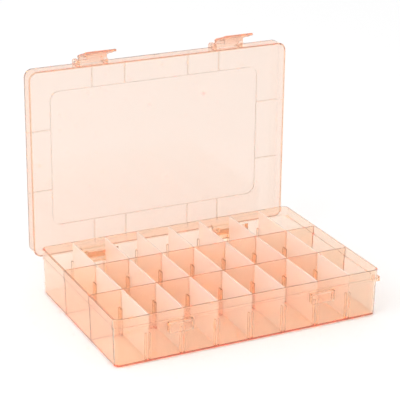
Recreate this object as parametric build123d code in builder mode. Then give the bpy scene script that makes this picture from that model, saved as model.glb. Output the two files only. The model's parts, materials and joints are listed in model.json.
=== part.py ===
"""Compartment organiser box: a base tray, a hinged lid, two swinging latches and lift-out dividers.

Millimetres.  +Z is up, +X is to the right and the front of the box faces -Y.
The origin is the centre of the base's underside.

The lid is drawn standing open, a quarter turn about its hinge axis.  Its sketches use the
closed lid's own coordinates on LID_FRAME, which is the base's frame turned about that axis.
"""
import math
import os

from build123d import *

# ---- driving dimensions -------------------------------------------------------------------
RIM_LENGTH = 192.4           # outside length of the base's rim
RIM_WIDTH = 130.1            # outside width of the base's rim
BASE_HEIGHT = 33.4
BAND_BOTTOM = 26.0           # the rim's wider band starts here
BAND_OVERHANG = 0.5          # how far the band stands out from the wall under it
DRAFT = 0.6                  # how far each wall leans in between the band and the floor
WALL = 1.2
FLOOR = 1.5
RIM_CORNER = 4.6
FOOT_ROUND = 1.5

COLUMNS = 8
ROWS = 3
COLUMN_PITCH = 24.3
ROW_PITCH = 43.6

LONG_WALL_TOP = 33.1
LONG_WALL_THICK_FOOT = 1.5
LONG_WALL_THICK_TOP = 1.1

RIB_TOP = 20.0
RIB_THICK = 1.1
SLOT_GAP = 1.3
RIB_REACH = 1.7              # how far a slot rib stands out from the face it is on

DIVIDER_THICK = 1.0
DIVIDER_FOOT = 1.7
DIVIDER_TOP = 33.3
DIVIDER_GAP = 0.25           # clearance between a divider's edge and the wall beside it
DIVIDER_SHOULDER = 27.5      # above this the outer rows' dividers reach out under the band
DIVIDER_CORNER = 1.0

LID_LENGTH = 195.0
LID_WIDTH = 133.4
LID_TOP = 36.6
LID_PLATE = 1.5
SKIRT_BOTTOM = 26.2
SKIRT = 1.0
LID_CORNER = 6.0
LID_EDGE_ROUND = 0.9
PANEL_MARGIN = 18.0
PANEL_STEP = 0.6
PANEL_CORNER = 6.5
GUIDE_RIB_THICK = 0.6
GUIDE_RIB_DEPTH = 1.0
GUIDE_RIB_INSET = 0.6        # gap between a guide rib's outer end and the skirt
CENTRE_STOP_WIDTH = 4.2

FASTENER_X = 51.5            # latches, catches and hinges are centred this far to each side

HINGE_OFFSET = 3.7           # hinge axis behind the rim's rear face
HINGE_Z = 19.7
HINGE_PIN_R = 1.25
HINGE_BARREL_R = 2.2
HINGE_WIDTH = 25.6
HINGE_EAR = 2.4
HINGE_EAR_R = 2.9
HINGE_SIDE_GAP = 0.3
STOP_SHELF_TOP = 17.1
STOP_SHELF_THICK = 1.3

RUNNING_GAP = 0.05           # radial clearance of a pin in its hole

LATCH_WIDTH = 22.5
LATCH_OUT = 2.2              # latch axis in front of the skirt
LATCH_DOWN = 5.2             # latch axis below the lid's top
LATCH_SWING = 28.0           # degrees, how far the latches are drawn swung out
LATCH_PIN_R = 0.9
LATCH_BARREL_R = 1.75
LATCH_THICK = 1.3
LATCH_LENGTH = 24.1          # from the latch axis to the finger edge
LATCH_LUG = 2.2
LATCH_LUG_REACH = 4.0
LATCH_SIDE_GAP = 0.25
HOOK_THICK = 1.3
HOOK_REACH = 3.2             # from the latch axis inward to the hook's nose
FINGER_ROLL_R = 0.55
FINGER_ROLL_INSET = 3.2      # from the finger edge to the grip bead

CATCH_WIDTH = 17.6
CATCH_BOTTOM = 18.6
CATCH_REACH = 0.8            # in front of the closed skirt's face
CATCH_SHELL = 1.2
CATCH_CORNER = 1.5

TAB_LENGTH = 5.0
TAB_REACH = 3.4
TAB_BOTTOM = 22.8
TAB_TOP = 25.8

# ---- places worked out from them ----------------------------------------------------------
FRONT = -1
REAR = 1
LEFT = -1
RIGHT = 1

WALL_LENGTH = RIM_LENGTH - 2 * BAND_OVERHANG          # outside, just under the band
WALL_WIDTH = RIM_WIDTH - 2 * BAND_OVERHANG
WALL_CORNER = RIM_CORNER - BAND_OVERHANG
BAND_FLOOR = BAND_BOTTOM + WALL                       # the step inside the rim
DRAFT_ANGLE = math.degrees(math.atan2(DRAFT, BAND_BOTTOM))

CROSS_X = [COLUMN_PITCH * (column - COLUMNS / 2) for column in range(1, COLUMNS)]
LONG_WALL_Y = [ROW_PITCH * side / 2 for side in (FRONT, REAR)]
ROW_NAMES = ["front", "middle", "rear"]

HINGE_Y = RIM_WIDTH / 2 + HINGE_OFFSET
SKIRT_Y = LID_WIDTH / 2
HINGE_AXIS_OUT = HINGE_Y - SKIRT_Y                    # hinge axis behind the closed skirt
EAR_X = HINGE_WIDTH / 2 - HINGE_EAR / 2
ARM_WIDTH = HINGE_WIDTH - 2 * HINGE_EAR - 2 * HINGE_SIDE_GAP

LUG_X = LATCH_WIDTH / 2 - LATCH_LUG / 2
NECK_WIDTH = LATCH_WIDTH - 2 * LATCH_LUG - 2 * LATCH_SIDE_GAP
LATCH_Y = -SKIRT_Y - LATCH_OUT
LATCH_Z = LID_TOP - LATCH_DOWN
SHOULDER = 6.1                                        # the latch's wide part starts here
HOOK_TOP = LATCH_Z - CATCH_BOTTOM + 0.3               # below the latch axis

LID_FRAME = Plane(origin=(0, HINGE_Y - HINGE_Z, HINGE_Z + HINGE_Y), x_dir=(1, 0, 0), z_dir=(0, 1, 0))


def inner_wall_y(height):
    """How far the wall's inner face is from the middle line, at a height below the band."""
    return WALL_WIDTH / 2 - WALL - DRAFT * (1 - height / BAND_BOTTOM)


def side_plane(x):
    """A plane across the base at one X, with its axes along +Y and +Z."""
    return Plane(origin=(x, 0, 0), x_dir=(0, 1, 0), z_dir=(1, 0, 0))


def lid_side_plane(x):
    """The same plane in the lid's frame, with its axes along the closed lid's Y and Z."""
    return Plane(origin=LID_FRAME.from_local_coords((x, 0, 0)), x_dir=LID_FRAME.y_dir, z_dir=(1, 0, 0))


def latch_plane(x, swing):
    """A plane across a latch: its X points out from the latch's face and its Y down the flap."""
    origin = LID_FRAME.from_local_coords((x, LATCH_Y, LATCH_Z))
    out = (0, math.sin(math.radians(swing)), math.cos(math.radians(swing)))
    return Plane(origin=origin, x_dir=out, z_dir=(1, 0, 0))


def finish(part, name):
    """Label a finished piece and write it to its own file."""
    part.label = name
    export_step(part, f"parts/{name}.step")


# ---- the base -----------------------------------------------------------------------------
def make_base():
    """Tray with two long walls, slot ribs, hinge brackets, catches and a side tab."""
    with BuildPart() as base:
        # the wall leans in towards the floor, so its foot is smaller than its top
        with BuildSketch(Plane.XY):
            RectangleRounded(WALL_LENGTH - 2 * DRAFT, WALL_WIDTH - 2 * DRAFT, WALL_CORNER - DRAFT)
        extrude(amount=BAND_BOTTOM + WALL / 2, taper=-DRAFT_ANGLE)
        fillet(base.faces().sort_by(Axis.Z)[0].edges(), FOOT_ROUND)
        with BuildSketch(Plane.XY.offset(BAND_BOTTOM)):
            RectangleRounded(RIM_LENGTH, RIM_WIDTH, RIM_CORNER)
        extrude(amount=BASE_HEIGHT - BAND_BOTTOM)
        fillet(base.faces().sort_by(Axis.Z)[-1].edges(), 0.35)

        # the hollow, in two steps that follow the outside
        with BuildSketch(Plane.XY.offset(BAND_FLOOR)):
            RectangleRounded(RIM_LENGTH - 2 * WALL, RIM_WIDTH - 2 * WALL, RIM_CORNER - WALL)
        extrude(amount=BASE_HEIGHT, mode=Mode.SUBTRACT)
        with BuildSketch(Plane.XY.offset(BAND_FLOOR)):
            RectangleRounded(WALL_LENGTH - 2 * WALL, WALL_WIDTH - 2 * WALL, WALL_CORNER - WALL)
        extrude(amount=FLOOR - BAND_FLOOR, taper=DRAFT_ANGLE, mode=Mode.SUBTRACT)

        add_long_walls()
        add_slot_ribs()
        add_hinge_brackets()
        add_catches()
        add_side_tab()
    return base.part


def add_long_walls():
    """Two lengthwise walls, thinner at the top, moulded in one with the tray."""
    foot = LONG_WALL_THICK_FOOT / 2
    top = LONG_WALL_THICK_TOP / 2
    start = -RIM_LENGTH / 2 + BAND_OVERHANG + WALL / 2
    for middle in LONG_WALL_Y:
        with BuildSketch(side_plane(start)) as outline:
            with BuildLine():
                Polyline(
                    (middle - foot, FLOOR / 2),
                    (middle + foot, FLOOR / 2),
                    (middle + foot, BAND_BOTTOM),
                    (middle + top, LONG_WALL_TOP),
                    (middle - top, LONG_WALL_TOP),
                    (middle - foot, BAND_BOTTOM),
                    close=True,
                )
            make_face()
        extrude(outline.sketch, amount=-2 * start)
    # the walls' ends lie inside the tray's end walls, which lean, so trim what sticks out below
    for side in (LEFT, RIGHT):
        with BuildSketch(Plane.XZ) as outline:
            with BuildLine():
                Polyline(
                    (side * (WALL_LENGTH / 2 - DRAFT), 0),
                    (side * WALL_LENGTH / 2, BAND_BOTTOM),
                    (side * (RIM_LENGTH / 2 + WALL), BAND_BOTTOM),
                    (side * (RIM_LENGTH / 2 + WALL), 0),
                    close=True,
                )
            make_face()
        extrude(outline.sketch, amount=ROW_PITCH / 2 + WALL, both=True, mode=Mode.SUBTRACT)


def add_slot_ribs():
    """Pairs of upright ribs that hold the cross dividers' edges."""
    offset = SLOT_GAP / 2 + RIB_THICK / 2
    rib_x = [x + side * offset for x in CROSS_X for side in (LEFT, RIGHT)]
    depth = LONG_WALL_THICK_FOOT + 2 * RIB_REACH
    places = [(x, y) for x in rib_x for y in LONG_WALL_Y]
    with BuildSketch(Plane.XY.offset(FLOOR / 2)) as outline:
        with Locations(*places):
            Rectangle(RIB_THICK, depth)
    extrude(outline.sketch, amount=RIB_TOP - FLOOR / 2)
    low = inner_wall_y(FLOOR)
    high = inner_wall_y(RIB_TOP)
    for side in (FRONT, REAR):
        with BuildSketch(*[side_plane(x - RIB_THICK / 2) for x in rib_x]) as outline:
            with BuildLine():
                Polyline(
                    (side * (low - RIB_REACH), FLOOR / 2),
                    (side * (low + WALL / 2), FLOOR / 2),
                    (side * (high + WALL / 2), RIB_TOP),
                    (side * (high - RIB_REACH), RIB_TOP),
                    close=True,
                )
            make_face()
        extrude(outline.sketch, amount=RIB_THICK)


def add_hinge_brackets():
    """Two ears a side with pin holes, and a shelf between them that stops the open lid."""
    wall_y = WALL_WIDTH / 2 - WALL / 2 - DRAFT / 2
    for side in (LEFT, RIGHT):
        centre = side * FASTENER_X
        for ear in (LEFT, RIGHT):
            with BuildSketch(side_plane(centre + ear * EAR_X - HINGE_EAR / 2)) as outline:
                with Locations((HINGE_Y, HINGE_Z)):
                    Circle(HINGE_EAR_R)
                with BuildLine():
                    Polyline(
                        (wall_y, STOP_SHELF_TOP - STOP_SHELF_THICK),
                        (wall_y, BAND_BOTTOM + WALL / 2),
                        (WALL_WIDTH / 2 + BAND_OVERHANG / 2, BAND_BOTTOM + WALL / 2),
                        (WALL_WIDTH / 2 + BAND_OVERHANG / 2, BAND_BOTTOM - WALL),
                        (HINGE_Y + HINGE_EAR_R / 2, HINGE_Z + HINGE_EAR_R * math.sin(math.pi / 3)),
                        (HINGE_Y + HINGE_EAR_R, HINGE_Z),
                        (HINGE_Y + HINGE_EAR_R, STOP_SHELF_TOP - STOP_SHELF_THICK),
                        close=True,
                    )
                make_face()
            extrude(outline.sketch, amount=HINGE_EAR)
        with BuildSketch(Plane.XY.offset(STOP_SHELF_TOP - STOP_SHELF_THICK)) as outline:
            with Locations((centre, (wall_y + HINGE_Y + HINGE_EAR_R) / 2)):
                Rectangle(HINGE_WIDTH, HINGE_Y + HINGE_EAR_R - wall_y)
        extrude(outline.sketch, amount=STOP_SHELF_THICK)
        with BuildSketch(side_plane(centre)) as outline:
            with Locations((HINGE_Y, HINGE_Z)):
                Circle(HINGE_PIN_R + RUNNING_GAP)
        extrude(outline.sketch, amount=HINGE_WIDTH, both=True, mode=Mode.SUBTRACT)


def add_catches():
    """Two box-shaped catches under the front band, open below, for the latches' hooks."""
    front = -SKIRT_Y - CATCH_REACH
    pocket_top = BAND_BOTTOM - CATCH_SHELL
    for side in (LEFT, RIGHT):
        centre = side * FASTENER_X
        with BuildSketch(Plane.XZ.offset(-front)) as outline:
            with Locations((centre, (CATCH_BOTTOM + BAND_BOTTOM) / 2)):
                Rectangle(CATCH_WIDTH, BAND_BOTTOM - CATCH_BOTTOM)
            fillet(outline.vertices().group_by(Axis.Y)[0], CATCH_CORNER)
        extrude(outline.sketch, amount=front + inner_wall_y(CATCH_BOTTOM) + WALL / 2)
        with BuildSketch(side_plane(centre)) as outline:
            with BuildLine():
                Polyline(
                    (front + CATCH_SHELL, CATCH_BOTTOM),
                    (-inner_wall_y(CATCH_BOTTOM) - WALL, CATCH_BOTTOM),
                    (-inner_wall_y(pocket_top) - WALL, pocket_top),
                    (front + CATCH_SHELL, pocket_top),
                    close=True,
                )
            make_face()
        extrude(outline.sketch, amount=CATCH_WIDTH / 2 - CATCH_SHELL, both=True, mode=Mode.SUBTRACT)


def add_side_tab():
    """Small thumb tab on the right wall, just under the closed lid's edge."""
    inside = WALL_LENGTH / 2 - WALL
    reach = RIM_LENGTH / 2 + TAB_REACH
    near = -RIM_WIDTH / 2 + RIM_CORNER
    with BuildSketch(Plane.XY.offset(TAB_BOTTOM)) as outline:
        with Locations(((inside + reach) / 2, near + TAB_LENGTH / 2)):
            RectangleRounded(reach - inside, TAB_LENGTH, 0.5)
    extrude(outline.sketch, amount=TAB_TOP - TAB_BOTTOM)


# ---- the lid ------------------------------------------------------------------------------
def make_lid():
    """Shallow cover with a stepped panel, guide ribs, hinge arms and latch lugs."""
    with BuildPart() as lid:
        with BuildSketch(LID_FRAME.offset(SKIRT_BOTTOM)):
            RectangleRounded(LID_LENGTH, LID_WIDTH, LID_CORNER)
        extrude(amount=LID_TOP - SKIRT_BOTTOM)
        fillet(lid.faces().sort_by(Axis.Y)[-1].edges(), LID_EDGE_ROUND)
        with BuildSketch(LID_FRAME.offset(SKIRT_BOTTOM)):
            RectangleRounded(LID_LENGTH - 2 * SKIRT, LID_WIDTH - 2 * SKIRT, LID_CORNER - SKIRT)
        extrude(amount=LID_TOP - LID_PLATE - SKIRT_BOTTOM, mode=Mode.SUBTRACT)

        # the middle panel is set down by one step, on both faces of the plate
        panel_length = LID_LENGTH - 2 * PANEL_MARGIN
        panel_width = LID_WIDTH - 2 * PANEL_MARGIN
        for level, mode in ((LID_TOP - LID_PLATE, Mode.ADD), (LID_TOP, Mode.SUBTRACT)):
            with BuildSketch(LID_FRAME.offset(level - PANEL_STEP)):
                RectangleRounded(panel_length, panel_width, PANEL_CORNER)
            extrude(amount=PANEL_STEP, mode=mode)

        add_guide_ribs()
        add_hinge_arms()
        add_latch_lugs()
    return lid.part


def add_guide_ribs():
    """Low ribs under the lid's margin, in line with the walls of the tray."""
    margin = PANEL_MARGIN - SKIRT - GUIDE_RIB_INSET
    along = LID_WIDTH / 2 - SKIRT - GUIDE_RIB_INSET - margin / 2
    across = LID_LENGTH / 2 - SKIRT - GUIDE_RIB_INSET - margin / 2
    with BuildSketch(LID_FRAME.offset(LID_TOP - LID_PLATE - GUIDE_RIB_DEPTH)) as outline:
        for column in (-2, -1, 1, 2):
            x = column * COLUMN_PITCH
            with Locations((x, along), (x, -along)):
                Rectangle(GUIDE_RIB_THICK, margin)
        for middle in LONG_WALL_Y:
            with Locations((across, middle), (-across, middle)):
                Rectangle(margin, GUIDE_RIB_THICK)
        with Locations((0, -LID_WIDTH / 2 + SKIRT + GUIDE_RIB_DEPTH)):
            Rectangle(CENTRE_STOP_WIDTH, 2 * GUIDE_RIB_DEPTH)
    extrude(outline.sketch, amount=GUIDE_RIB_DEPTH + LID_PLATE / 2)


def add_hinge_arms():
    """Two arms down from the rear skirt, each with a barrel and a pin at both ends."""
    face = HINGE_Y + HINGE_BARREL_R
    seat = SKIRT_BOTTOM + 0.2
    for side in (LEFT, RIGHT):
        centre = side * FASTENER_X
        with BuildSketch(lid_side_plane(centre)) as outline:
            with BuildLine():
                Polyline(
                    (SKIRT_Y - SKIRT / 2, seat),
                    (SKIRT_Y - SKIRT / 2, LID_TOP - LATCH_DOWN),
                    (SKIRT_Y + HINGE_AXIS_OUT, LID_TOP - LATCH_DOWN - HINGE_AXIS_OUT),
                    (face, LID_TOP - LATCH_DOWN - 2 * HINGE_BARREL_R),
                    (face, HINGE_Z),
                    (HINGE_Y, HINGE_Z),
                    (HINGE_Y, seat),
                    close=True,
                )
            make_face()
            with Locations((HINGE_Y, HINGE_Z)):
                Circle(HINGE_BARREL_R)
        extrude(outline.sketch, amount=ARM_WIDTH / 2, both=True)
        with BuildSketch(lid_side_plane(centre)) as outline:
            with Locations((HINGE_Y, HINGE_Z)):
                Circle(HINGE_PIN_R)
        extrude(outline.sketch, amount=HINGE_WIDTH / 2, both=True)


def add_latch_lugs():
    """Two lugs in front of the skirt for each latch, with a hole for its pin."""
    back = -SKIRT_Y + SKIRT / 2
    face = -SKIRT_Y - LATCH_LUG_REACH
    top = LID_TOP - LID_EDGE_ROUND
    foot = SKIRT_BOTTOM + 0.2
    for side in (LEFT, RIGHT):
        for lug in (LEFT, RIGHT):
            x = side * FASTENER_X + lug * LUG_X
            with BuildSketch(lid_side_plane(x - LATCH_LUG / 2)) as outline:
                with BuildLine():
                    Polyline(
                        (back, top),
                        (-SKIRT_Y - LATCH_LUG_REACH / 2, top),
                        (face, top - LATCH_LUG_REACH / 2),
                        (face, foot + 1),
                        (face + 1, foot),
                        (back, foot),
                        close=True,
                    )
                make_face()
                with Locations((LATCH_Y, LATCH_Z)):
                    Circle(LATCH_PIN_R + RUNNING_GAP, mode=Mode.SUBTRACT)
            extrude(outline.sketch, amount=LATCH_LUG)


# ---- the latches --------------------------------------------------------------------------
def make_latch(side):
    """Flap with a barrel and two pins, a hook for the catch and a bead for the fingertip."""
    plane = latch_plane(side * FASTENER_X, LATCH_SWING)
    inner = -LATCH_THICK / 2
    outer = LATCH_THICK / 2
    with BuildPart() as latch:
        with BuildSketch(plane):
            Circle(LATCH_BARREL_R)
            with BuildLine():
                Polyline((inner, 0), (outer, 0), (outer, SHOULDER + 1), (inner, SHOULDER + 1), close=True)
            make_face()
        extrude(amount=NECK_WIDTH / 2, both=True)
        with BuildSketch(plane):
            with BuildLine():
                Polyline(
                    (inner, SHOULDER),
                    (outer, SHOULDER),
                    (outer, LATCH_LENGTH - LATCH_THICK),
                    (outer + 0.4, LATCH_LENGTH),
                    (inner + 0.4, LATCH_LENGTH),
                    (inner, LATCH_LENGTH - LATCH_THICK),
                    close=True,
                )
            make_face()
            with Locations((inner, LATCH_LENGTH - FINGER_ROLL_INSET)):
                Circle(FINGER_ROLL_R)
        extrude(amount=LATCH_WIDTH / 2, both=True)
        with BuildSketch(plane):
            with BuildLine():
                Polyline(
                    (0, HOOK_TOP),
                    (-HOOK_REACH, HOOK_TOP),
                    (-HOOK_REACH, HOOK_TOP + HOOK_THICK / 2),
                    (0, HOOK_TOP + 2 * HOOK_THICK),
                    close=True,
                )
            make_face()
        extrude(amount=(CATCH_WIDTH - 2 * CATCH_SHELL) / 2 - 0.5, both=True)
        with BuildSketch(plane):
            Circle(LATCH_PIN_R)
        extrude(amount=LATCH_WIDTH / 2, both=True)
    return latch.part


# ---- the dividers -------------------------------------------------------------------------
def divider_outline(row):
    """Corner points of one row's divider, seen from the right, as (y, z)."""
    long_wall = ROW_PITCH / 2 + LONG_WALL_THICK_FOOT / 2 + DIVIDER_GAP
    middle_half = ROW_PITCH / 2 - LONG_WALL_THICK_FOOT / 2 - DIVIDER_GAP
    if row == 1:
        return [
            (-middle_half + DIVIDER_CORNER, DIVIDER_FOOT),
            (middle_half - DIVIDER_CORNER, DIVIDER_FOOT),
            (middle_half, DIVIDER_FOOT + DIVIDER_CORNER),
            (middle_half, DIVIDER_TOP),
            (-middle_half, DIVIDER_TOP),
            (-middle_half, DIVIDER_FOOT + DIVIDER_CORNER),
        ]
    side = FRONT if row == 0 else REAR
    foot = inner_wall_y(DIVIDER_FOOT + DIVIDER_CORNER) - DIVIDER_GAP
    under_band = inner_wall_y(BAND_BOTTOM) - DIVIDER_GAP
    band = RIM_WIDTH / 2 - WALL - DIVIDER_GAP
    return [
        (side * (long_wall + DIVIDER_CORNER), DIVIDER_FOOT),
        (side * (foot - DIVIDER_CORNER), DIVIDER_FOOT),
        (side * foot, DIVIDER_FOOT + DIVIDER_CORNER),
        (side * under_band, BAND_BOTTOM),
        (side * under_band, DIVIDER_SHOULDER),
        (side * band, DIVIDER_SHOULDER),
        (side * band, DIVIDER_TOP),
        (side * long_wall, DIVIDER_TOP),
        (side * long_wall, DIVIDER_FOOT + DIVIDER_CORNER),
    ]


def make_divider(row, x):
    """Flat cross divider that drops into the slots between two ribs at each edge."""
    with BuildPart() as divider:
        with BuildSketch(side_plane(x)):
            with BuildLine():
                Polyline(*divider_outline(row), close=True)
            make_face()
        extrude(amount=DIVIDER_THICK / 2, both=True)
    return divider.part


def main():
    """Build every piece and write each one to its own file."""
    os.makedirs("parts", exist_ok=True)
    finish(make_base(), "base")
    finish(make_lid(), "lid")
    finish(make_latch(LEFT), "latch_left")
    finish(make_latch(RIGHT), "latch_right")
    for row in range(ROWS):
        for column, x in enumerate(CROSS_X, start=1):
            finish(make_divider(row, x), f"divider_{ROW_NAMES[row]}_{column}")


main()
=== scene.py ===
"""A shallow organizer box in translucent peach plastic, with its lid standing open.

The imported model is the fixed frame. The classes below stand for the box's sub-assemblies: the
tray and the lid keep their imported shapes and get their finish, and the latches and the lift-out
dividers are modelled afresh in the same places.
"""

import json
import logging
import math
from collections.abc import Callable
from dataclasses import dataclass, field
from enum import Enum

import bmesh
import bpy
from mathutils import Matrix, Vector


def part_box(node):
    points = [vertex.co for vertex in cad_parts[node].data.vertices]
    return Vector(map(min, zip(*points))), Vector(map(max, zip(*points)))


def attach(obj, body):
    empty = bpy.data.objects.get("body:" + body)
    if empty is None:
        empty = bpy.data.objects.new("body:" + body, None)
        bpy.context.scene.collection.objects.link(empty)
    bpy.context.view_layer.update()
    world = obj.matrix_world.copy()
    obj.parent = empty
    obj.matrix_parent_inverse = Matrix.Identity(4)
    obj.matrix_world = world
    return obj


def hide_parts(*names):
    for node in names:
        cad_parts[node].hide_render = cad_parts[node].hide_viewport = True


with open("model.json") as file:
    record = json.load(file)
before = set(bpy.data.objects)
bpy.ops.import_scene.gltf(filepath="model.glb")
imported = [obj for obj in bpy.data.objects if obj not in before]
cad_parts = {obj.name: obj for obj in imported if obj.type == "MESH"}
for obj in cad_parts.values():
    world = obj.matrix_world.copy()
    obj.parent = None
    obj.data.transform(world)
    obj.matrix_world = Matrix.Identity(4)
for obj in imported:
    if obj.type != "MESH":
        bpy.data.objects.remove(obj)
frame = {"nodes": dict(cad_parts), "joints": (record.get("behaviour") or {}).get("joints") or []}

LOG = logging.getLogger("organizer_box")
MM = 0.001
ALONG = 0.9            # least share of a direction that counts as pointing along an axis
FULL_WEIGHT = 100      # lets the largest face alone set the shading at a corner
SEAM = 0.002 * MM      # points nearer than this are one point

Rule = Callable[[Vector, Vector], bool]
Colour = tuple[float, float, float]


# ---- bench work ---------------------------------------------------------------------------
def take(piece: bpy.types.Object) -> None:
    """Select one piece alone and make it active.

    Args:
        piece: the piece to select.
    """
    bpy.ops.object.select_all(action="DESELECT")
    piece.select_set(True)
    bpy.context.view_layer.objects.active = piece


def set_home(piece: bpy.types.Object) -> None:
    """Put the piece's place, turn and size into its mesh."""
    take(piece)
    bpy.ops.object.transform_apply(location=True, rotation=True, scale=True)


def block(name: str, low: Vector, high: Vector) -> bpy.types.Object:
    """Add a block between two corners, ready to be shaped.

    Args:
        name: the new piece's name.
        low: its lowest corner.
        high: its highest corner.

    Returns:
        The new piece.
    """
    bpy.ops.object.select_all(action="DESELECT")
    bpy.ops.mesh.primitive_cube_add(size=1.0, location=(low + high) / 2, scale=high - low)
    piece = bpy.context.object
    piece.name = name
    set_home(piece)
    return piece


def rod(name: str, radius: float, length: float, place: Vector, sides: int = 32) -> bpy.types.Object:
    """Add a rod along X, ready to be shaped.

    Args:
        name: the new piece's name.
        radius: its radius.
        length: its length along X.
        place: its middle.
        sides: how many flats go round it.

    Returns:
        The new piece.
    """
    bpy.ops.object.select_all(action="DESELECT")
    bpy.ops.mesh.primitive_cylinder_add(
        vertices=sides, radius=radius, depth=length, location=place, rotation=(0, math.pi / 2, 0)
    )
    piece = bpy.context.object
    piece.name = name
    set_home(piece)
    return piece


def pick_faces(piece: bpy.types.Object, rule: Rule) -> None:
    """Go into edit mode with some of the faces selected.

    Args:
        piece: the piece to work on.
        rule: says of a face's middle and normal whether it is selected.
    """
    take(piece)
    bpy.ops.object.mode_set(mode="EDIT")
    bpy.ops.mesh.select_mode(type="FACE")
    bpy.ops.mesh.select_all(action="DESELECT")
    shape = bmesh.from_edit_mesh(piece.data)
    for face in shape.faces:
        face.select_set(rule(face.calc_center_median(), face.normal))
    bmesh.update_edit_mesh(piece.data)


def pick_edges(piece: bpy.types.Object, rule: Rule) -> None:
    """Go into edit mode with some of the edges selected.

    Args:
        piece: the piece to work on.
        rule: says of an edge's middle and direction whether it is selected.
    """
    take(piece)
    bpy.ops.object.mode_set(mode="EDIT")
    bpy.ops.mesh.select_mode(type="EDGE")
    bpy.ops.mesh.select_all(action="DESELECT")
    shape = bmesh.from_edit_mesh(piece.data)
    for edge in shape.edges:
        start, end = (corner.co for corner in edge.verts)
        edge.select_set(rule((start + end) / 2, (end - start).normalized()))
    bmesh.update_edit_mesh(piece.data)


def push(move: Vector) -> None:
    """Extrude the selected faces along a move, and leave edit mode."""
    bpy.ops.mesh.extrude_region_move(TRANSFORM_OT_translate={"value": move})
    bpy.ops.object.mode_set(mode="OBJECT")


def shift(move: Vector) -> None:
    """Move what is selected, and leave edit mode."""
    bpy.ops.transform.translate(value=move)
    bpy.ops.object.mode_set(mode="OBJECT")


def round_off(width: float, steps: int) -> None:
    """Bevel the selected edges, and leave edit mode."""
    bpy.ops.mesh.bevel(offset=width, segments=steps, affect="EDGES", clamp_overlap=True)
    bpy.ops.object.mode_set(mode="OBJECT")


def ease_edges(piece: bpy.types.Object, width: float, steps: int = 2, angle: float = 40.0) -> None:
    """Round every sharp edge with an applied bevel.

    Args:
        piece: the piece to work on.
        width: how far the bevel reaches from each edge.
        steps: how many flats make the round.
        angle: the least turn, in degrees, that counts as sharp.
    """
    take(piece)
    bevel = piece.modifiers.new("ease", "BEVEL")
    bevel.width = width
    bevel.segments = steps
    bevel.limit_method = "ANGLE"
    bevel.angle_limit = math.radians(angle)
    bpy.ops.object.modifier_apply(modifier=bevel.name)


def close_seams(piece: bpy.types.Object) -> None:
    """Merge points that fall together, so that the skin is closed with no empty faces.

    Args:
        piece: the piece to work on.
    """
    take(piece)
    bpy.ops.object.mode_set(mode="EDIT")
    bpy.ops.mesh.select_mode(type="VERT")
    bpy.ops.mesh.select_all(action="SELECT")
    bpy.ops.mesh.remove_doubles(threshold=SEAM)
    bpy.ops.mesh.dissolve_degenerate(threshold=SEAM)
    bpy.ops.object.mode_set(mode="OBJECT")


def weld(piece: bpy.types.Object, part: bpy.types.Object) -> None:
    """Join a part to a piece as one closed skin, and use the part up.

    Args:
        piece: the piece that grows.
        part: the part that is joined to it.
    """
    take(piece)
    union = piece.modifiers.new("weld", "BOOLEAN")
    union.operation = "UNION"
    union.solver = "EXACT"
    union.object = part
    bpy.ops.object.modifier_apply(modifier=union.name)
    bpy.data.objects.remove(part)
    close_seams(piece)


def smooth(piece: bpy.types.Object, angle: float = 35.0) -> None:
    """Shade the piece smooth across its gentle turns, with its flat faces kept flat.

    Args:
        piece: the piece to work on.
        angle: the least turn, in degrees, that stays a sharp edge.
    """
    take(piece)
    bpy.ops.object.shade_smooth_by_angle(angle=math.radians(angle))
    even = piece.modifiers.new("even", "WEIGHTED_NORMAL")
    even.weight = FULL_WEIGHT
    even.keep_sharp = True
    bpy.ops.object.modifier_apply(modifier=even.name)


def twin(piece: bpy.types.Object, name: str, move: Vector) -> bpy.types.Object:
    """Copy a piece, with a mesh of its own, to another place.

    Args:
        piece: the piece to copy.
        name: the copy's name.
        move: how far the copy stands from the piece.

    Returns:
        The copy.
    """
    copy = piece.copy()
    copy.data = piece.data.copy()
    copy.name = name
    copy.data.name = name
    bpy.context.scene.collection.objects.link(copy)
    copy.location = move
    set_home(copy)
    return copy


# ---- finishes -----------------------------------------------------------------------------
class Slot(Enum):
    """The record's material slots."""

    TRAY = "tray_plastic"
    LID = "lid_plastic"
    DIVIDER = "divider_plastic"
    LATCH = "latch_plastic"


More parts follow.
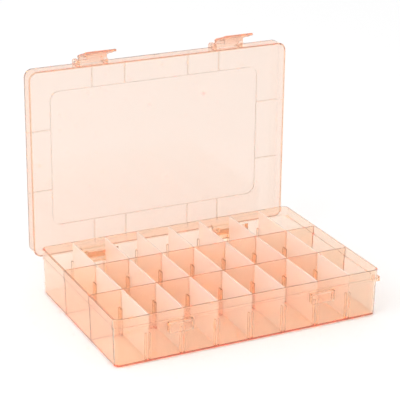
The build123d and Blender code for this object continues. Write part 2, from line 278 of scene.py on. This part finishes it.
@dataclass(frozen=True)
class ClearPlastic:
    """A see-through moulded plastic, tinted by its surface and by its depth.

    Args:
        slot: the record's slot that it is for.
        pale: surface tint where the melt ran clearest.
        warm: surface tint in the flow streaks.
        deep: colour that light keeps on its way through the plastic.
        density: how strongly the plastic's depth takes light away, per metre.
        clarity: share of light that passes through instead of scattering.
        polish: lowest and highest roughness of the surface.
        index: how strongly the plastic bends light.
        flow_scale: how fine the flow streaks are.
        flow_detail: how many finer layers the streaks have.
        flow_twist: how much the streaks wander.
        rub_scale: how fine the rub marks are.
        rub_detail: how many finer layers the rub marks have.
        rub_grit: how strong those finer layers are.
        rub_range: pattern values that give the lowest and the highest roughness.
        grain_scale: how fine the surface grain is.
        grain_detail: how many finer layers the grain has.
        ripple: how much higher the flow streaks stand than the grain.
        relief: strength of the bump.
        relief_height: height that the bump stands for.
    """

    slot: Slot
    pale: Colour
    warm: Colour
    deep: Colour
    density: float
    clarity: float
    polish: tuple[float, float]
    index: float = 1.47
    flow_scale: float = 34.0
    flow_detail: float = 5.0
    flow_twist: float = 0.8
    rub_scale: float = 160.0
    rub_detail: float = 6.0
    rub_grit: float = 0.7
    rub_range: tuple[float, float] = (0.3, 0.7)
    grain_scale: float = 900.0
    grain_detail: float = 3.0
    ripple: float = 6.0
    relief: float = 0.08
    relief_height: float = 0.1 * MM

    def build(self) -> bpy.types.Material:
        """Make the material's nodes.

        Returns:
            The finished material.
        """
        material = bpy.data.materials.new(self.slot.value)
        material.use_nodes = True
        tree = material.node_tree
        tree.nodes.clear()
        output = tree.nodes.new("ShaderNodeOutputMaterial")
        shader = tree.nodes.new("ShaderNodeBsdfPrincipled")
        shader.inputs["IOR"].default_value = self.index
        shader.inputs["Transmission Weight"].default_value = self.clarity
        place = tree.nodes.new("ShaderNodeTexCoord").outputs["Object"]
        flow = self.add_flow(tree, place, shader)
        self.add_rub(tree, place, shader)
        self.add_relief(tree, place, flow, shader)
        depth = tree.nodes.new("ShaderNodeVolumeAbsorption")
        depth.inputs["Color"].default_value = (*self.deep, 1.0)
        depth.inputs["Density"].default_value = self.density
        tree.links.new(shader.outputs["BSDF"], output.inputs["Surface"])
        tree.links.new(depth.outputs["Volume"], output.inputs["Volume"])
        return material

    def add_flow(self, tree: bpy.types.NodeTree, place: bpy.types.NodeSocket,
                 shader: bpy.types.Node) -> bpy.types.NodeSocket:
        """Tint the surface with the streaks that the melt left as it flowed.

        Args:
            tree: the material's nodes.
            place: the place on the piece.
            shader: the shader to tint.

        Returns:
            The streaks' pattern.
        """
        flow = tree.nodes.new("ShaderNodeTexNoise")
        flow.inputs["Scale"].default_value = self.flow_scale
        flow.inputs["Detail"].default_value = self.flow_detail
        flow.inputs["Distortion"].default_value = self.flow_twist
        tree.links.new(place, flow.inputs["Vector"])
        tint = tree.nodes.new("ShaderNodeMix")
        tint.data_type = "RGBA"
        tint.inputs["A"].default_value = (*self.pale, 1.0)
        tint.inputs["B"].default_value = (*self.warm, 1.0)
        tree.links.new(flow.outputs["Fac"], tint.inputs["Factor"])
        tree.links.new(tint.outputs["Result"], shader.inputs["Base Color"])
        return flow.outputs["Fac"]

    def add_rub(self, tree: bpy.types.NodeTree, place: bpy.types.NodeSocket,
                shader: bpy.types.Node) -> None:
        """Vary the polish with faint rub marks.

        Args:
            tree: the material's nodes.
            place: the place on the piece.
            shader: the shader to rub.
        """
        rub = tree.nodes.new("ShaderNodeTexNoise")
        rub.inputs["Scale"].default_value = self.rub_scale
        rub.inputs["Detail"].default_value = self.rub_detail
        rub.inputs["Roughness"].default_value = self.rub_grit
        tree.links.new(place, rub.inputs["Vector"])
        polish = tree.nodes.new("ShaderNodeMapRange")
        polish.inputs["From Min"].default_value = self.rub_range[0]
        polish.inputs["From Max"].default_value = self.rub_range[1]
        polish.inputs["To Min"].default_value = self.polish[0]
        polish.inputs["To Max"].default_value = self.polish[1]
        tree.links.new(rub.outputs["Fac"], polish.inputs["Value"])
        tree.links.new(polish.outputs["Result"], shader.inputs["Roughness"])

    def add_relief(self, tree: bpy.types.NodeTree, place: bpy.types.NodeSocket,
                   flow: bpy.types.NodeSocket, shader: bpy.types.Node) -> None:
        """Raise the flow streaks and a fine grain a little.

        Args:
            tree: the material's nodes.
            place: the place on the piece.
            flow: the flow streaks' pattern.
            shader: the shader to raise.
        """
        grain = tree.nodes.new("ShaderNodeTexNoise")
        grain.inputs["Scale"].default_value = self.grain_scale
        grain.inputs["Detail"].default_value = self.grain_detail
        tree.links.new(place, grain.inputs["Vector"])
        ripple = tree.nodes.new("ShaderNodeMath")
        ripple.operation = "MULTIPLY_ADD"
        ripple.inputs[1].default_value = self.ripple
        tree.links.new(flow, ripple.inputs[0])
        tree.links.new(grain.outputs["Fac"], ripple.inputs[2])
        bump = tree.nodes.new("ShaderNodeBump")
        bump.inputs["Strength"].default_value = self.relief
        bump.inputs["Distance"].default_value = self.relief_height
        tree.links.new(ripple.outputs["Value"], bump.inputs["Height"])
        tree.links.new(bump.outputs["Normal"], shader.inputs["Normal"])


def finishes() -> dict[Slot, bpy.types.Material]:
    """Make the four plastics.

    Returns:
        A material for each slot.
    """
    orange = (1.0, 0.66, 0.25)
    peach = (1.0, 0.66, 0.28)
    plastics = (
        ClearPlastic(Slot.TRAY, (1.0, 0.915, 0.85), (1.0, 0.89, 0.80), orange, 80.0, 0.93, (0.05, 0.11)),
        ClearPlastic(Slot.LID, (0.985, 0.895, 0.85), (0.97, 0.875, 0.825), peach, 100.0, 0.91, (0.05, 0.11)),
        ClearPlastic(Slot.DIVIDER, (1.0, 0.975, 0.955), (1.0, 0.955, 0.93), peach, 60.0, 0.52, (0.12, 0.20)),
        ClearPlastic(Slot.LATCH, (1.0, 0.89, 0.83), (1.0, 0.86, 0.79), peach, 110.0, 0.82, (0.08, 0.15)),
    )
    return {plastic.slot: plastic.build() for plastic in plastics}


@dataclass
class Shop:
    """What every sub-assembly is finished with: the plastics."""

    plastics: dict[Slot, bpy.types.Material] = field(default_factory=finishes)

    def dress(self, node: str, slot: Slot) -> None:
        """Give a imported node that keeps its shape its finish.

        Args:
            node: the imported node's name.
            slot: the finish that it gets.
        """
        mesh = frame["nodes"][node].data
        mesh.materials.clear()
        mesh.materials.append(self.plastics[slot])
        LOG.info("%s: packed shape, %s", node, slot.value)

    def hand_over(self, piece: bpy.types.Object, body: str, slot: Slot, *nodes: str) -> None:
        """Dress a piece, let it ride on a body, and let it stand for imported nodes.

        Args:
            piece: the finished piece.
            body: the body that it moves with.
            slot: the finish that it gets.
            nodes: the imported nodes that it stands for.
        """
        piece.data.materials.clear()
        piece.data.materials.append(self.plastics[slot])
        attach(piece, body)
        if nodes:
            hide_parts(*nodes)
        LOG.info("%s: %d faces on %s", piece.name, len(piece.data.polygons), body)


# ---- the tray -----------------------------------------------------------------------------
@dataclass
class Tray:
    """The tray with its long walls, slot ribs, hinge ears and catches."""

    def build(self, shop: Shop) -> None:
        """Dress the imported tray."""
        shop.dress("base", Slot.TRAY)


# ---- the lid ------------------------------------------------------------------------------
@dataclass
class Lid:
    """The lid with its panel, guide ribs, hinge arms and latch lugs."""

    def build(self, shop: Shop) -> None:
        """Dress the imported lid."""
        shop.dress("lid", Slot.LID)


# ---- the latches --------------------------------------------------------------------------
@dataclass
class Latch:
    """A swinging latch: a bowed flap, a neck with its barrel and pins, a hook and a grip bead.

    It is modelled flat, with its pin along X at the origin, the flap along +Y and its outer face
    up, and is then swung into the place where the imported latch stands.
    """

    side: str
    width: float = 22.5 * MM
    neck: float = 17.4 * MM
    length: float = 24.1 * MM
    shoulder: float = 6.1 * MM
    overlap: float = 1.2 * MM
    thick: float = 1.3 * MM
    neck_thick: float = 1.22 * MM
    bow: float = 2.0 * MM
    bow_lead: float = 0.55
    pin: float = 0.9 * MM
    barrel: float = 1.75 * MM
    hook_at: float = 13.1 * MM
    hook_reach: float = 3.2 * MM
    hook_thick: float = 1.3 * MM
    hook_width: float = 14.2 * MM
    hook_lean: float = 1.5
    bead: float = 0.55 * MM
    bead_inset: float = 3.4 * MM
    lip: float = 0.4 * MM
    nub: float = 0.6 * MM
    nub_length: float = 2.4 * MM
    nub_apart: float = 6.0 * MM
    nub_at: float = 8.0 * MM
    stride: float = 1.5 * MM
    corner: float = 1.5 * MM
    swing: float = math.radians(28.0)
    small_sides: int = 20
    corner_steps: int = 6
    fine_steps: int = 3
    flap_easing: float = 0.28 * MM
    slight_easing: float = 0.15 * MM
    hook_easing: float = 0.18 * MM
    nub_easing: float = 0.3 * MM

    @property
    def body(self) -> str:
        """The body that this latch is."""
        return f"latch_{self.side}"

    def build(self, shop: Shop) -> None:
        """Model the latch, swing it into place and hand it over."""
        flap = self.make_flap()
        weld(flap, self.make_neck())
        weld(flap, rod("barrel", self.barrel, self.neck, Vector()))
        weld(flap, rod("pin", self.pin, self.width, Vector()))
        weld(flap, self.make_hook())
        weld(flap, self.make_bead())
        for way in (-1, 1):
            weld(flap, self.make_nub(way * self.nub_apart))
        self.swing_into_place(flap)
        smooth(flap)
        flap.name = f"{self.body}_flap"
        shop.hand_over(flap, self.body, Slot.LATCH, self.body)

    def height(self, along: float) -> float:
        """How far the bowed middle stands above the pin.

        Args:
            along: the distance from the pin along the latch.

        Returns:
            The height.
        """
        share = min(max(along / self.length, 0.0), 1.0)
        return self.bow * math.sin(math.pi * share**self.bow_lead)

    def draw_out(self, name: str, width: float, thick: float, start: float,
                 end: float) -> bpy.types.Object:
        """Draw a plate out along Y in short steps that follow the bow.

        Args:
            name: the plate's name.
            width: its width.
            thick: its thickness.
            start: where it starts, as a distance from the pin.
            end: where it ends.

        Returns:
            The bowed plate.
        """
        steps = max(2, round((end - start) / self.stride))
        step = (end - start) / steps
        low = Vector((-width / 2, start, self.height(start) - thick / 2))
        high = Vector((width / 2, start + step, self.height(start) + thick / 2))
        plate = block(name, low, high)
        reach = start + step
        pick_faces(plate, lambda middle, normal: normal.y > ALONG)
        shift(Vector((0, 0, self.height(reach) - self.height(start))))
        for _ in range(steps - 1):
            edge = reach - step / 2
            rise = self.height(reach + step) - self.height(reach)
            reach = reach + step
            pick_faces(plate, lambda middle, normal, edge=edge: middle.y > edge and normal.y > ALONG)
            push(Vector((0, step, rise)))
        return plate

    def make_flap(self) -> bpy.types.Object:
        """The wide flap, with its fingertip edge turned out and its outline rounded.

        Returns:
            The flap.
        """
        flap = self.draw_out("flap", self.width, self.thick, self.shoulder, self.length)
        tip = self.length - self.stride / 2
        pick_faces(flap, lambda middle, normal: middle.y > tip and normal.y > ALONG)
        shift(Vector((0, 0, self.lip)))
        side = self.width / 2 - self.corner
        start = self.shoulder + self.stride / 2
        pick_edges(flap, lambda middle, way: abs(middle.x) > side and abs(way.z) > ALONG
                   and not start < middle.y < tip)
        round_off(self.corner, self.corner_steps)
        close_seams(flap)
        ease_edges(flap, self.flap_easing, self.fine_steps)
        close_seams(flap)
        return flap

    def make_neck(self) -> bpy.types.Object:
        """The narrow part between the barrel and the flap's shoulder.

        Returns:
            The neck.
        """
        neck = self.draw_out("neck", self.neck, self.neck_thick, 0.0, self.shoulder + self.overlap)
        ease_edges(neck, self.slight_easing)
        return neck

    def make_hook(self) -> bpy.types.Object:
        """The hook on the inner face, with a sloping underside that rides over the catch.

        Returns:
            The hook.
        """
        low = Vector((-self.hook_width / 2, self.hook_at, -self.hook_reach))
        top = self.height(self.hook_at)
        high = Vector((self.hook_width / 2, self.hook_at + self.hook_thick / 2, top))
        hook = block("hook", low, high)
        back = self.hook_at + self.hook_thick / 4
        pick_edges(hook, lambda middle, way: middle.z > 0 and middle.y > back and abs(way.x) > ALONG)
        shift(Vector((0, self.hook_thick * self.hook_lean, 0)))
        ease_edges(hook, self.hook_easing)
        return hook

    def make_bead(self) -> bpy.types.Object:
        """The grip bead across the inner face near the fingertip edge.

        Returns:
            The bead.
        """
        along = self.length - self.bead_inset
        place = Vector((0, along, self.height(along) - self.thick / 2))
        bead = rod("bead", self.bead, self.width - 3 * self.thick, place, self.small_sides)
        ease_edges(bead, self.slight_easing)
        return bead

    def make_nub(self, across: float) -> bpy.types.Object:
        """One of the two small nubs on the inner face near the pin.

        Args:
            across: where it stands along the pin.

        Returns:
            The nub.
        """
        place = Vector((across, self.nub_at, self.height(self.nub_at) - self.thick / 2))
        nub = rod("nub", self.nub, self.nub_length, place, self.small_sides)
        ease_edges(nub, self.nub_easing, self.fine_steps)
        return nub

    def swing_into_place(self, flap: bpy.types.Object) -> None:
        """Turn the flat latch to its drawn swing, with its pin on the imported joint's axis.

        Args:
            flap: the finished flat latch.
        """
        joint = next(j for j in frame["joints"] if j["child"] == self.body)
        turn = Matrix((
            (-1, 0, 0),
            (0, -math.cos(self.swing), math.sin(self.swing)),
            (0, math.sin(self.swing), math.cos(self.swing)),
        ))
        flap.matrix_world = Matrix.Translation(Vector(joint["pos_m"])) @ turn.to_4x4()
        set_home(flap)


# ---- the dividers -------------------------------------------------------------------------
@dataclass
class DividerRow:
    """One row of seven equal lift-out dividers, modelled once and copied along the row.

    Args:
        name: the row's name.
        wall: which way the tray's long outer wall lies, or 0 in the middle row.
    """

    name: str
    wall: int
    count: int = 7
    corner: float = 1.1 * MM
    band_step: float = 0.5 * MM
    shoulder: float = 5.8 * MM
    draft: float = 0.54 * MM
    easing: float = 0.2 * MM
    corner_steps: int = 5
    easing_steps: int = 3

    def build(self, shop: Shop) -> None:
        """Model the first divider, copy it along the row and hand all of them over."""
        first = self.make_first()
        start = self.middle(1)
        for number in range(2, self.count + 1):
            name = f"divider_{self.name}_{number}"
            copy = twin(first, f"{name}_plate", self.middle(number) - start)
            shop.hand_over(copy, name, Slot.DIVIDER, name)
        shop.hand_over(first, f"divider_{self.name}_1", Slot.DIVIDER, f"divider_{self.name}_1")

    def middle(self, number: int) -> Vector:
        """The middle of the box round one of the row's packed dividers.

        Args:
            number: which divider, counted from the left.

        Returns:
            The middle.
        """
        low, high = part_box(f"divider_{self.name}_{number}")
        return (low + high) / 2

    def make_first(self) -> bpy.types.Object:
        """Shape the row's first divider from a block.

        Returns:
            The first divider.
        """
        low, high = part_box(f"divider_{self.name}_1")
        if not self.wall:
            plate = block(f"divider_{self.name}_1_plate", low, high)
        else:
            plate = self.make_stepped(low, high)
        foot = low.z + self.easing
        pick_edges(plate, lambda middle, way: middle.z < foot and abs(way.x) > ALONG)
        round_off(self.corner, self.corner_steps)
        ease_edges(plate, self.easing, self.easing_steps)
        smooth(plate)
        return plate

    def make_stepped(self, low: Vector, high: Vector) -> bpy.types.Object:
        """A plate that leans with the outer wall and reaches out under the tray's band.

        Args:
            low: lowest corner of the divider's box.
            high: highest corner of the divider's box.

        Returns:
            The stepped plate.
        """
        body_low = low.copy()
        body_high = high.copy()
        body_high.z = high.z - self.shoulder
        if self.wall > 0:
            body_high.y = body_high.y - self.band_step
        else:
            body_low.y = body_low.y + self.band_step
        plate = block(f"divider_{self.name}_1_plate", body_low, body_high)
        pick_faces(plate, lambda middle, normal: normal.z > ALONG)
        push(Vector((0, 0, self.shoulder)))
        head = body_high.z
        pick_faces(plate, lambda middle, normal: normal.y * self.wall > ALONG and middle.z > head)
        push(Vector((0, self.wall * self.band_step, 0)))
        foot = low.z + self.easing
        pick_edges(plate, lambda middle, way: middle.z < foot and abs(way.x) > ALONG
                   and middle.y * self.wall > (low.y + high.y) / 2 * self.wall)
        shift(Vector((0, -self.wall * self.draft, 0)))
        return plate


# ---- the studio ---------------------------------------------------------------------------
@dataclass
class Studio:
    """Pale floor, soft lights and the camera."""

    azimuth: float = math.radians(26.14)
    elevation: float = math.radians(20.97)
    roll: float = math.radians(0.62)
    lens: float = 137.6
    distance: float = 1.2323
    target: Colour = (0.0817, 0.1796, 0.0)
    sensor: float = 36.0
    nearest: float = 0.01
    floor_size: float = 12.0
    floor_drop: float = 0.2 * MM
    floor_white: float = 0.93
    key_place: Colour = (-1.5, -0.4, 1.3)
    key_size: tuple[float, float] = (1.6, 1.2)
    key_power: float = 11.0
    bounces: int = 80

    def build(self) -> None:
        """Build the floor, the lights and the camera, and set how light is followed."""
        self.add_floor()
        self.add_sky()
        self.add_light("key", Vector(self.key_place), self.key_size, self.key_power)
        self.add_camera()
        self.follow_light()

    def add_floor(self) -> None:
        """A wide pale floor under the box."""
        bpy.ops.object.select_all(action="DESELECT")
        bpy.ops.mesh.primitive_plane_add(size=self.floor_size, location=(0, 0, -self.floor_drop))
        floor = bpy.context.object
        floor.name = "floor"
        set_home(floor)
        paper = bpy.data.materials.new("floor_paper")
        paper.use_nodes = True
        shader = paper.node_tree.nodes["Principled BSDF"]
        shader.inputs["Base Color"].default_value = (*[self.floor_white] * 3, 1.0)
        shader.inputs["Roughness"].default_value = 0.9
        shader.inputs["Specular IOR Level"].default_value = 0.1
        floor.data.materials.append(paper)

    def add_sky(self) -> None:
        """An even white sky."""
        world = bpy.data.worlds.new("sky")
        world.use_nodes = True
        sky = world.node_tree.nodes["Background"]
        sky.inputs["Color"].default_value = (1.0, 1.0, 1.0, 1.0)
        sky.inputs["Strength"].default_value = 1.0
        bpy.context.scene.world = world

    def add_light(self, name: str, place: Vector, size: tuple[float, float], power: float) -> None:
        """A wide soft light that faces the box.

        Args:
            name: the light's name.
            place: where it hangs.
            size: its width and height.
            power: its power in watts.
        """
        data = bpy.data.lights.new(name, "AREA")
        data.shape = "RECTANGLE"
        data.size = size[0]
        data.size_y = size[1]
        data.energy = power
        light = bpy.data.objects.new(name, data)
        bpy.context.scene.collection.objects.link(light)
        light.location = place
        light.rotation_euler = (-place).to_track_quat("-Z", "Y").to_euler()

    def add_camera(self) -> None:
        """A long lens from the front left, a little above the box."""
        level = Vector((math.cos(self.azimuth), -math.sin(self.azimuth), 0.0))
        ahead = Vector((math.sin(self.azimuth), math.cos(self.azimuth), 0.0)) * math.cos(self.elevation)
        ahead.z = -math.sin(self.elevation)
        upward = level.cross(ahead)
        right = level * math.cos(self.roll) + upward * math.sin(self.roll)
        top = upward * math.cos(self.roll) - level * math.sin(self.roll)
        data = bpy.data.cameras.new("camera")
        data.lens = self.lens
        data.sensor_width = self.sensor
        data.clip_start = self.nearest
        camera = bpy.data.objects.new("camera", data)
        bpy.context.scene.collection.objects.link(camera)
        place = Vector(self.target) - ahead * self.distance
        axes = Matrix((right, top, -ahead)).transposed()
        camera.matrix_world = Matrix.Translation(place) @ axes.to_4x4()
        bpy.context.scene.camera = camera

    def follow_light(self) -> None:
        """Let light pass through many clear walls without loss, and keep whites white."""
        scene = bpy.context.scene
        scene.view_settings.view_transform = "Standard"
        scene.cycles.max_bounces = self.bounces
        scene.cycles.transmission_bounces = self.bounces
        scene.cycles.transparent_max_bounces = self.bounces
        scene.cycles.glossy_bounces = self.bounces
        scene.cycles.diffuse_bounces = self.bounces
        scene.cycles.sample_clamp_indirect = 0.0
        scene.cycles.blur_glossy = 0.0


def main() -> None:
    """Build the box's sub-assemblies in order and report each one."""
    logging.basicConfig(level=logging.INFO, format="%(name)s: %(message)s")
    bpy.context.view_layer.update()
    Studio().build()
    shop = Shop()
    Tray().build(shop)
    Lid().build(shop)
    for side in ("left", "right"):
        Latch(side).build(shop)
    for name, wall in (("front", -1), ("middle", 0), ("rear", 1)):
        DividerRow(name, wall).build(shop)


if __name__ == "__main__":
    main()
